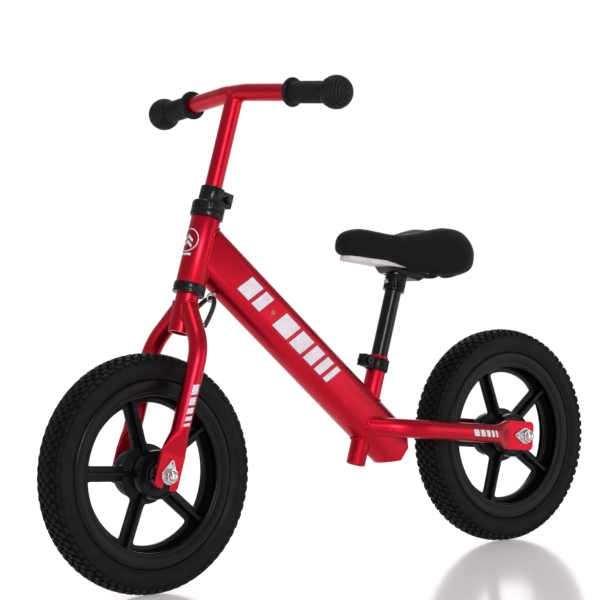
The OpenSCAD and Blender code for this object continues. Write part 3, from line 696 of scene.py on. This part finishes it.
def opening_outline(start, end):
    """One opening between two spokes, as (x, z) points, with rounded corners."""
    inner, outer, half = 35 * MM, 88.3 * MM, 8.6 * MM
    points = []

    def arc(radius, low, high, count):
        for k in range(count + 1):
            a = low + (high - low) * k / count
            points.append(Vector((radius * math.cos(a), radius * math.sin(a))))

    def edge(a, b, count):
        for k in range(1, count):
            points.append(a.lerp(b, k / count))

    def corner(radius, angle, sign):
        turn = angle + sign * math.asin(half / radius)
        return Vector((radius * math.cos(turn), radius * math.sin(turn)))

    edge(corner(inner, start, 1), corner(outer, start, 1), 44)
    arc(outer, start + math.asin(half / outer), end - math.asin(half / outer), 60)
    edge(corner(outer, end, -1), corner(inner, end, -1), 44)
    arc(inner, end - math.asin(half / inner), start + math.asin(half / inner), 16)
    for _ in range(16):
        count = len(points)
        points = [(points[i - 1] + points[i] * 2 + points[(i + 1) % count]) / 4 for i in range(count)]
    return points


def spoke_plate():
    """The flat web of the spokes, the first along x, from a filled curve with rounded edges."""
    data = bpy.data.curves.new("spoke_plate", "CURVE")
    data.dimensions = "2D"
    data.fill_mode = "BOTH"
    data.extrude = 2.2 * MM
    data.bevel_depth = 1.0 * MM
    data.bevel_resolution = 2
    outer = [Vector((94 * MM * math.cos(a), 94 * MM * math.sin(a)))
             for a in (2 * math.pi * k / 180 for k in range(180))]
    hole = [Vector((20 * MM * math.cos(a), 20 * MM * math.sin(a)))
            for a in (2 * math.pi * k / 60 for k in range(60))]
    spokes = [math.radians(72 * i) for i in range(6)]
    outlines = [outer, hole] + [opening_outline(a, b) for a, b in zip(spokes, spokes[1:])]
    for outline in outlines:
        spline = data.splines.new("POLY")
        spline.points.add(len(outline) - 1)
        spline.use_cyclic_u = True
        for point, (x, y) in zip(spline.points, outline):
            point.co = (x, y, 0, 1)
    holder = bpy.data.objects.new("spoke_plate", data)
    bpy.context.collection.objects.link(holder)
    bpy.context.view_layer.update()
    mesh = bpy.data.meshes.new_from_object(holder)
    edit = bmesh.new()
    edit.from_mesh(mesh)
    bmesh.ops.remove_doubles(edit, verts=edit.verts, dist=0.00001)
    edit.to_mesh(mesh)
    edit.free()
    verts = [Vector((v.co.x, -v.co.z, v.co.y)) for v in mesh.vertices]
    faces = [tuple(p.vertices) for p in mesh.polygons]
    bpy.data.objects.remove(holder)
    bpy.data.curves.remove(data)
    bpy.data.meshes.remove(mesh)
    return verts, faces


def spoke_rib(angle):
    """The deep rib along the middle of a spoke, tapered towards the rim."""
    rings = []
    for i in range(13):
        t = i / 12
        r = (24 + 77 * t) * MM
        deep = (11.6 - 2.2 * t + 3.2 * max(0, t - 0.8) * 5) * MM
        half = (2.5 + 1.6 * max(0, t - 0.85) * 6.6 + 1.6 * max(0, 0.15 - t) * 6.6) * MM
        ring = []
        for y, z in ((-1, -0.72), (-1, 0.72), (-0.93, 0.96), (0, 1.25), (0.93, 0.96), (1, 0.72),
                     (1, -0.72), (0.93, -0.96), (0, -1.25), (-0.93, -0.96)):
            ring.append(Vector((r, y * deep, z * half)))
        rings.append(ring)
    return moved(loft(rings), Matrix.Rotation(-angle, 4, "Y"))


def make_wheels():
    body = joined(revolved(mirrored(tyre_profile()), 168), tyre_knobs())
    ribs = [spoke_rib(math.radians(72 * i)) for i in range(5)]
    spokes = joined(spoke_plate(), *ribs)
    ring = joined(revolved(mirrored(rim_profile()), 168), revolved(mirrored(hub_profile()), 96))
    for name, x, wheel in WHEELS:
        place = Matrix.Translation((x, 0, WHEEL_RADIUS))
        make_piece(f"{name}_tyre_treaded", moved(body, place), FOAM, wheel,
                   [f"{name}_tyre"], crease=32)
        turn = Matrix.Rotation(math.radians(-SPOKE_TURN[name]), 4, "Y")
        rim = joined(ring, moved(spokes, turn))
        make_piece(f"{name}_rim_moulded", moved(rim, place), PLASTIC, wheel,
                   [f"{name}_rim"], crease=32)


def nut_part():
    """A hexagon with chamfered corners under a dome, for y > 0."""
    rings = []
    flat = 7.8
    rows = [(50.1, 8.2), (50.7, 9.2), (56.2, 9.2), (57.0, 8.0), (57.2, 7.0)]
    rows += [(57.2 + 6.4 * math.sin(math.radians(a)), 6.6 * math.cos(math.radians(a)))
             for a in range(0, 90, 9)]
    for y, limit in rows:
        ring = []
        for k in range(72):
            a = 2 * math.pi * k / 72
            hexagon = flat / math.cos((a + math.pi / 6) % (math.pi / 3) - math.pi / 6)
            r = min(hexagon, limit) * MM
            ring.append(Vector((r * math.cos(a), y * MM, r * math.sin(a))))
        rings.append(ring)
    return loft(rings)


def make_nuts():
    nut = nut_part()
    both = joined(nut, moved(nut, MIRROR))
    for name, x, _ in WHEELS:
        body = "fork" if name == "front" else "frame"
        make_piece(f"{name}_axle_nuts", moved(both, Matrix.Translation((x, 0, WHEEL_RADIUS))), CHROME,
                   body, [f"{name}_dome_nuts"], crease=26)


# ---- Handlebar and grips ----

BAR_SWEEP = 7.5
BAR_BEND_RADIUS = 0.09
BAR_STRAIGHT = 0.014
ARM_START = BAR_STRAIGHT + BAR_BEND_RADIUS * math.sin(math.radians(BAR_SWEEP))


def arm_frame(sign):
    """Start of an arm of the bar, with z running out along it."""
    back = BAR_BEND_RADIUS * (1 - math.cos(math.radians(BAR_SWEEP)))
    place = AT_BAR @ Matrix.Translation((-back, ARM_START, 0))
    place = place @ Matrix.Rotation(math.radians(BAR_SWEEP), 4, "Z")
    place = place @ Matrix.Rotation(math.radians(-90), 4, "X")
    return place if sign > 0 else MIRROR @ place


def along_arm(y):
    """Distance along an arm at which it is y from the middle plane."""
    return (y - ARM_START) / math.cos(math.radians(BAR_SWEEP))


def make_bar():
    half = [AT_BAR @ Vector((0, y, 0)) for y in (0, BAR_STRAIGHT)]
    for i in range(1, 9):
        a = math.radians(BAR_SWEEP) * i / 8
        half.append(AT_BAR @ Vector((-BAR_BEND_RADIUS * (1 - math.cos(a)),
                                     BAR_STRAIGHT + BAR_BEND_RADIUS * math.sin(a), 0)))
    arm = arm_frame(1)
    end = along_arm(0.1766) + 0.008
    half += [arm @ Vector((0, 0, end * i / 6)) for i in range(1, 7)]
    path = [MIRROR @ p for p in reversed(half[1:])] + half
    part = swept(path, [BAR_RADIUS] * len(path), 64, AT_BAR.to_3x3() @ Vector((0, 0, 1)))
    make_piece("bar_drawn", part, RED, "handlebar", ["handlebar_bar"])
    bar_back = AT_BAR.inverted()

    def in_bar(point):
        q = bar_back @ point
        return math.hypot(q.x, q.z) < BAR_RADIUS
    up = AT_STEERING.to_3x3() @ Vector((0, 0, 1))
    post = circle(AT_STEERING @ Matrix.Translation((0, 0, 0.46)), BAR_RADIUS * 0.995)
    make_weld("weld_bar", [entry(p, up, in_bar) for p in post], "handlebar", 1.5 * MM)


def grip_outline():
    """The grip's outside as (distance along the arm, radius) points."""
    flange, ball = along_arm(0.103), along_arm(0.1766)
    outline = []
    for a in range(-90, 91, 15):
        outline.append((flange + 2.6 * MM * math.sin(math.radians(a)),
                        16.0 * MM + 2.5 * MM * math.cos(math.radians(a))))
    start, end = flange + 3.6 * MM, ball - 16 * MM
    ridges = 15
    for i in range(ridges * 6 + 1):
        t = i / (ridges * 6)
        ridge = abs(math.sin(math.pi * ridges * t)) ** 0.7
        outline.append((start + (end - start) * t, 13.0 * MM + 0.9 * MM * ridge))
    for i in range(0, 141):
        a = -50 + i
        ridge = abs(math.sin(math.radians((a + 50) * 180 / 14))) ** 0.6
        radius = (20.0 + 1.0 * ridge) * MM
        outline.append((ball + radius * math.sin(math.radians(a)),
                        max(radius * math.cos(math.radians(a)), 0.2 * MM)))
    return outline


def make_grips():
    outline = grip_outline()
    start = outline[0][0]
    bore, end = 11.1 * MM, outline[-1][0]
    inside = [(start, bore), (end - 8 * MM, bore), (end - 9 * MM, 0.2 * MM)]
    profile = inside[::-1] + outline
    for side, sign in SIDES:
        place = arm_frame(sign)
        rings = []
        for z, radius in profile:
            turns = [2 * math.pi * k / 72 for k in range(72)]
            rings.append([place @ Vector((radius * math.cos(a), radius * math.sin(a), z)) for a in turns])
        make_piece(f"grip_{side}_ribbed", loft(rings), RUBBER, "handlebar",
                   [f"grip_{side}"], crease=50)


# ---- Saddle ----

# Sections of the cover: x, half width, top in the middle, top of the lobes, lower edge
SADDLE_SECTIONS = (
    (103, 6, 19, 19, 8), (101, 13, 27, 27, 3.5), (95.5, 19, 32.5, 32.5, 1.5), (84, 23, 36, 36, 1),
    (70, 25, 37, 37, 1), (52, 27, 36.5, 36.5, 1), (36, 30, 35.5, 35.8, -1),
    (20, 34.5, 34.5, 35.8, -4.5), (6, 40, 35, 37.5, -8.5), (-8, 47, 37.5, 41, -12.5),
    (-22, 55, 41.5, 45.5, -15.5), (-36, 62.5, 45.5, 50.5, -17), (-50, 68, 49, 55, -17),
    (-64, 70, 51, 56.5, -15.5), (-78, 67, 50, 55.5, -12), (-91, 57, 45.5, 50, -7),
    (-102, 40, 36, 40.5, 1), (-107.5, 19, 24, 28, 10),
)


def pan_half(x):
    """Half the width of the pan under the cover, in millimetres."""
    if x > 80:
        return math.sqrt(max(14 ** 2 - (x - 80) ** 2, 0))
    if x > 0:
        return 22 - x / 10
    if x > -58:
        return 22 - x * 24 / 58
    return 26 + math.sqrt(20 ** 2 - (x + 58) ** 2) if x > -78 else 0


def saddle_ring(x, half, middle, lobe, low, count=72):
    """A closed section: crowned top with two lobes, round sides, and a skirt round the pan."""
    ring = []
    for k in range(count):
        a = 2 * math.pi * k / count
        c, s = math.cos(a), math.sin(a)
        y = math.copysign(abs(c) ** 0.86, c) * half
        across = abs(y) / half
        top = middle + (lobe - middle) * math.sin(math.pi * min(across / 1.1, 1)) ** 2
        skirt = smooth((abs(y) - pan_half(x)) / 5)
        base = low if low > -0.5 else -0.5 + (low + 0.5) * skirt
        waist = low + (top - low) * 0.42
        z = waist + (top - waist) * abs(s) ** 0.80 if s > 0 else waist - (waist - base) * abs(s) ** 0.4
        ring.append(AT_SADDLE @ (Vector((x, y, z)) * MM))
    return ring


def inflated(piece, limit):
    """Voxel remesh, a short cloth run with pressure, and a cap on how far a point may move."""
    remesh = piece.modifiers.new("even", "REMESH")
    remesh.mode = "VOXEL"
    remesh.voxel_size = 4 * MM
    apply_modifiers(piece)
    rest = [v.co.copy() for v in piece.data.vertices]
    cloth = piece.modifiers.new("cloth", "CLOTH")
    cloth.settings.use_pressure = True
    cloth.settings.uniform_pressure_force = 4
    cloth.settings.effector_weights.gravity = 0
    cloth.point_cache.frame_start = 1
    cloth.point_cache.frame_end = 20
    for step in range(1, 21):
        bpy.context.scene.frame_set(step)
    apply_modifiers(piece)
    bpy.context.scene.frame_set(1)
    for vertex, start in zip(piece.data.vertices, rest):
        shift = vertex.co - start
        if shift.length > limit:
            vertex.co = start + shift * (limit / shift.length)


def apply_modifiers(piece):
    """Keeps the evaluated mesh, and no modifier."""
    bpy.context.view_layer.update()
    shape = piece.evaluated_get(bpy.context.evaluated_depsgraph_get())
    mesh = bpy.data.meshes.new_from_object(shape)
    old = piece.data
    piece.modifiers.clear()
    piece.data = mesh
    bpy.data.meshes.remove(old)


def make_saddle():
    rings = [saddle_ring(*section) for section in SADDLE_SECTIONS]
    cover = make_piece("saddle_cover_padded", loft(rings), FABRIC, None)
    inflated(cover, 2.0 * MM)
    smoother = cover.modifiers.new("relax", "SMOOTH")
    smoother.factor = 0.5
    smoother.iterations = 10
    finer = cover.modifiers.new("finer", "SUBSURF")
    finer.levels = 1
    finer.render_levels = 1
    apply_modifiers(cover)
    cover.data.shade_smooth()
    cover.data.materials.clear()
    cover.data.materials.append(FABRIC)
    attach(cover, "seat")
    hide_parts("saddle_cover")


# ---- Printed marks: thin shells a little above the paint ----

def on_flank(sign):
    """A point of the main tube's side: s up the tube, t across it."""
    flat = (MAIN_HEIGHT - MAIN_WIDTH) / 2

    def place(s, t, lift):
        over = max(abs(t * MM) - flat, 0) / (MAIN_WIDTH / 2)
        y = (MAIN_WIDTH / 2 + lift) * math.cos(over)
        x = min(abs(t * MM), flat) + (MAIN_WIDTH / 2 + lift) * math.sin(over)
        return AT_MAIN @ Vector((-math.copysign(x, t), sign * y, s * MM))
    return place


def on_arm(matrix, radius, sign):
    """A point of a leg's or stay's outer side: s along it, t round it."""
    def place(s, t, lift):
        a = t * MM / radius
        out = radius + lift
        return matrix @ Vector((s * MM, sign * (SIDE_OFFSET + out * math.cos(a)), out * math.sin(a)))
    return place


def on_head(s, t, lift):
    """A point of the head tube's front: s up it, t round it."""
    a = t * MM / HEAD_RADIUS
    out = HEAD_RADIUS + lift
    return AT_STEERING @ Vector((out * math.cos(a), out * math.sin(a), s * MM))


def shell(rows, closed, surface, lift):
    """A closed thin shell over a grid of (s, t) points."""
    count = len(rows[0])
    top = [surface(s, t, lift) for row in rows for s, t in row]
    low = [surface(s, t, -0.25 * MM) for row in rows for s, t in row]
    half = len(top)
    faces = []
    for i in range(len(rows) - 1):
        for j in range(count if closed else count - 1):
            a, b = i * count + j, i * count + (j + 1) % count
            c, d = b + count, a + count
            faces += [(a, b, c, d), (d + half, c + half, b + half, a + half)]
    last = (len(rows) - 1) * count
    for j in range(count if closed else count - 1):
        k = (j + 1) % count
        faces += [(k, j, j + half, k + half), (last + j, last + k, last + k + half, last + j + half)]
    if not closed:
        for i in range(len(rows) - 1):
            a, b = i * count, (i + 1) * count
            faces += [(a, b, b + half, a + half)]
            a, b = a + count - 1, b + count - 1
            faces += [(b, a, a + half, b + half)]
    return top + low, faces


def slab(s0, s1, t0, t1, slant, grow=0.0):
    """A slanted bar as rows of (s, t)."""
    s0, s1, t0, t1 = s0 - grow, s1 + grow, t0 - grow, t1 + grow
    rows = []
    for i in range(5):
        s = s0 + (s1 - s0) * i / 4
        rows.append([(s + slant * (t0 + (t1 - t0) * j / 8), t0 + (t1 - t0) * j / 8) for j in range(9)])
    return rows


def chevron(s0, s1, t0, t1, depth, grow=0.0):
    """A bar bent at its middle, as rows of (s, t)."""
    s0, s1, t0, t1 = s0 - 1.3 * grow, s1 + 1.3 * grow, t0 - grow, t1 + grow
    middle, half = (t0 + t1) / 2, (t1 - t0) / 2
    rows = []
    for i in range(5):
        s = s0 + (s1 - s0) * i / 4
        ts = [t0 + (t1 - t0) * j / 12 for j in range(13)]
        rows.append([(s + depth * (1 - abs(t - middle) / half), t) for t in ts])
    return rows


def disc(s, t, outer, inner, grow=0.0):
    """A ring or, with a tiny inner radius, a dot."""
    outer, inner = outer + grow, max(inner - grow, 0.05)
    rows = []
    for i in range(4):
        r = outer + (inner - outer) * i / 3
        turns = [2 * math.pi * k / 48 for k in range(48)]
        rows.append([(s + r * math.cos(a), t + r * math.sin(a)) for a in turns])
    return rows


def make_marks(name, shapes, surface, body, outline=1.0):
    """White shapes, each on a dark one that shows as its outline."""
    dark = [shell(draw(grow=outline), closed, surface, 0.10 * MM) for draw, closed, _ in shapes]
    make_piece(f"{name}_outline", joined(*dark), DARK_MARK, body)
    for kind, material in (("white", WHITE_MARK), ("orange", ORANGE_MARK)):
        parts = [shell(draw(grow=0.0), closed, surface, 0.18 * MM)
                 for draw, closed, ink in shapes if ink == kind]
        if parts:
            make_piece(f"{name}_{kind}", joined(*parts), material, body)


def shape(maker, *sizes, ink="white"):
    """A shape with its sizes, whether it closes on itself, and its ink."""
    return (lambda grow: maker(*sizes, grow=grow)), maker is disc, ink


def bars(low, high, t0, t1, slant, widths, gap):
    """A row of slanted bars from high down to low, whose widths are shares of the room."""
    shapes = []
    room = (high - low - gap * (len(widths) - 1)) / sum(widths)
    at = high
    for width in widths:
        shapes.append(shape(slab, at - width * room, at, t0, t1, slant))
        at -= width * room + gap
    return shapes


FLANK_SHAPES = (
    bars(320, 365, -13, 14, -0.34, (10, 7), 6)
    + [shape(disc, 306, 0.5, 3.4, 0.1, ink="orange")]
    + bars(176, 293, -13, 14, -0.34, (10, 8, 6, 4.5, 3), 6)
)
BADGE_SHAPES = (
    shape(disc, 294, 0, 15.2, 13.9),
    shape(chevron, 291, 295, -7.6, 7.6, 6),
    shape(chevron, 284, 288, -7.6, 7.6, 6),
    shape(slab, 274.2, 277.2, -9, 9, 0.0),
)


def make_all_marks():
    upright = Matrix.Rotation(math.radians(-90), 4, "Y")
    for side, sign in SIDES:
        make_marks(f"flank_mark_{side}", FLANK_SHAPES, on_flank(sign), "frame")
        make_marks(f"leg_mark_{side}", bars(62, 114, -4.4, 4.4, 0.4, (7, 5.5, 4, 3, 2), 3.4),
                   on_arm(AT_STEERING @ upright, LEG_RADIUS, sign), "fork", 0.6)
        make_marks(f"stay_mark_{side}", bars(66, 110, -4.4, 4.4, 0.4, (6, 5, 4, 3, 2), 3),
                   on_arm(AT_STAY, STAY_RADIUS, sign), "frame", 0.6)
    make_marks("head_badge", BADGE_SHAPES, on_head, "frame", 0.5)


# ---- CAD nodes that stay: better materials, softened edges ----

CAD_LOOKS = {
    RED: ("main_tube", "head_tube", "seat_tube", "steerer_tube", "handlebar_post"),
    GLOSS: ("upper_headset_cup", "lower_headset_cup", "headset_top_cap", "seat_post",
            "handlebar_clamp", "crown_race"),
    PLASTIC: ("seat_clamp", "saddle_bracket", "front_axle_spacers", "rear_axle_spacers"),
    GREY: ("saddle_pan",),
    STEEL: ("front_tab_washers", "rear_tab_washers", "limiter_eye", "limiter_anchors",
            "front_axle", "rear_axle", "upper_headset_bearing", "lower_headset_bearing",
            "front_bearing_inner_rings", "rear_bearing_inner_rings", "front_bearing_outer_rings",
            "rear_bearing_outer_rings", "front_bearing_balls", "rear_bearing_balls",
            "bracket_screw", "pan_screws"),
    DARK_STEEL: ("handlebar_clamp_bolt", "handlebar_clamp_nut", "seat_clamp_bolt", "seat_clamp_nut"),
}


# How far the edges of some CAD nodes are rounded, in millimetres
SOFT_EDGES = {
    "main_tube": 0.9, "head_tube": 0.5, "seat_tube": 0.4, "saddle_bracket": 0.8, "seat_clamp": 0.5,
    "handlebar_clamp": 0.5, "upper_headset_cup": 0.3, "lower_headset_cup": 0.3,
    "headset_top_cap": 0.3, "crown_race": 0.3, "saddle_pan": 0.8, "front_tab_washers": 0.2,
    "rear_tab_washers": 0.2,
}


def dress_cad():
    for material, names in CAD_LOOKS.items():
        for name in names:
            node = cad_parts[name]
            node.data.materials.clear()
            node.data.materials.append(material)
            node.data.shade_smooth()
            node.data.set_sharp_from_angle(angle=math.radians(30))
    for name, width in SOFT_EDGES.items():
        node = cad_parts[name]
        weld = node.modifiers.new("weld", "WELD")
        weld.merge_threshold = 0.00001
        add_bevel(node, width * MM)


# ---- Studio ----

def make_floor():
    """Glossy white near the object, and plain white light further away."""
    look = Look("floor_white", (0.6, 0.56, 0.59), Roughness=0.13, Specular_IOR_Level=0.8)
    look.mottle(2, 2, (0.60, 0.55, 0.58), (0.63, 0.58, 0.61))
    look.set(look.shader, Emission_Color=(1, 0.985, 1, 1), Emission_Strength=0.30)
    far = look.nodes.new("ShaderNodeEmission")
    far.inputs["Color"].default_value = (1, 1, 1, 1)
    size = look.nodes.new("ShaderNodeVectorMath")
    size.operation = "LENGTH"
    look.links.new(look.place, size.inputs[0])
    away = look.nodes.new("ShaderNodeMapRange")
    look.set(away, From_Min=0.9, From_Max=3.2)
    away.interpolation_type = "SMOOTHSTEP"
    look.link(size.outputs["Value"], away, "Value")
    mix = look.nodes.new("ShaderNodeMixShader")
    look.links.new(away.outputs["Result"], mix.inputs[0])
    look.links.new(look.shader.outputs[0], mix.inputs[1])
    look.links.new(far.outputs[0], mix.inputs[2])
    look.links.new(mix.outputs[0], look.nodes["Material Output"].inputs["Surface"])
    mesh = bpy.data.meshes.new("floor")
    turns = [2 * math.pi * k / 96 for k in range(96)]
    reach = 14
    mesh.from_pydata([(reach * math.cos(a), reach * math.sin(a), -0.0004) for a in turns],
                     [], [tuple(range(96))])
    mesh.materials.append(look.material)
    floor = bpy.data.objects.new("floor", mesh)
    bpy.context.collection.objects.link(floor)


def make_world():
    """White to the camera and low behind the object, and a softer grey room elsewhere."""
    world = bpy.data.worlds.new("studio")
    world.use_nodes = True
    nodes, links = world.node_tree.nodes, world.node_tree.links
    nodes.clear()
    seen, room = nodes.new("ShaderNodeBackground"), nodes.new("ShaderNodeBackground")
    seen.inputs["Color"].default_value = (1, 1, 1, 1)
    seen.inputs["Strength"].default_value = 1.0
    room.inputs["Color"].default_value = (1, 0.96, 0.99, 1)
    links.new(backdrop_glow(nodes, links), room.inputs["Strength"])
    ray, mix = nodes.new("ShaderNodeLightPath"), nodes.new("ShaderNodeMixShader")
    out = nodes.new("ShaderNodeOutputWorld")
    links.new(ray.outputs["Is Camera Ray"], mix.inputs[0])
    links.new(room.outputs[0], mix.inputs[1])
    links.new(seen.outputs[0], mix.inputs[2])
    links.new(mix.outputs[0], out.inputs["Surface"])
    bpy.context.scene.world = world
    bpy.context.scene.view_settings.view_transform = "Standard"


def backdrop_glow(nodes, links):
    """The room's strength: brighter towards the backdrop behind the object."""
    place, facing = nodes.new("ShaderNodeTexCoord"), nodes.new("ShaderNodeVectorMath")
    facing.operation = "DOT_PRODUCT"
    facing.inputs[1].default_value = (-0.63, -0.77, -0.1)
    links.new(place.outputs["Generated"], facing.inputs[0])
    glow = nodes.new("ShaderNodeMapRange")
    glow.interpolation_type = "SMOOTHSTEP"
    for key, value in (("From Min", 0.80), ("From Max", 0.95), ("To Min", ROOM), ("To Max", 1.25)):
        glow.inputs[key].default_value = value
    links.new(facing.outputs["Value"], glow.inputs["Value"])
    return glow.outputs["Result"]


def make_light(name, place, size, power, color=(1, 1, 1)):
    data = bpy.data.lights.new(name, "AREA")
    data.shape = "RECTANGLE"
    data.size, data.size_y = size
    data.energy = power
    data.color = color
    light = bpy.data.objects.new(name, data)
    bpy.context.collection.objects.link(light)
    light.location = place
    light.rotation_mode = "QUATERNION"
    light.rotation_quaternion = (Vector((0, 0, 0.3)) - Vector(place)).to_track_quat("-Z", "Y")


def make_lights():
    make_light("key", (1.32, 2.49, 1.15), (0.5, 0.9), 34)
    make_light("fill", (-2.2, 2.4, 0.7), (1.8, 1.6), 10)
    make_light("top", (0.2, -0.2, 2.8), (2.2, 0.8), 14)
    make_light("back", (-1.6, -2.2, 1.4), (1.2, 1.4), 10)


make_camera()
make_limiter()
make_world()
make_lights()
make_floor()
dress_cad()
make_arms()
make_frame_welds()
make_wheels()
make_nuts()
make_bar()
make_grips()
make_saddle()
make_all_marks()
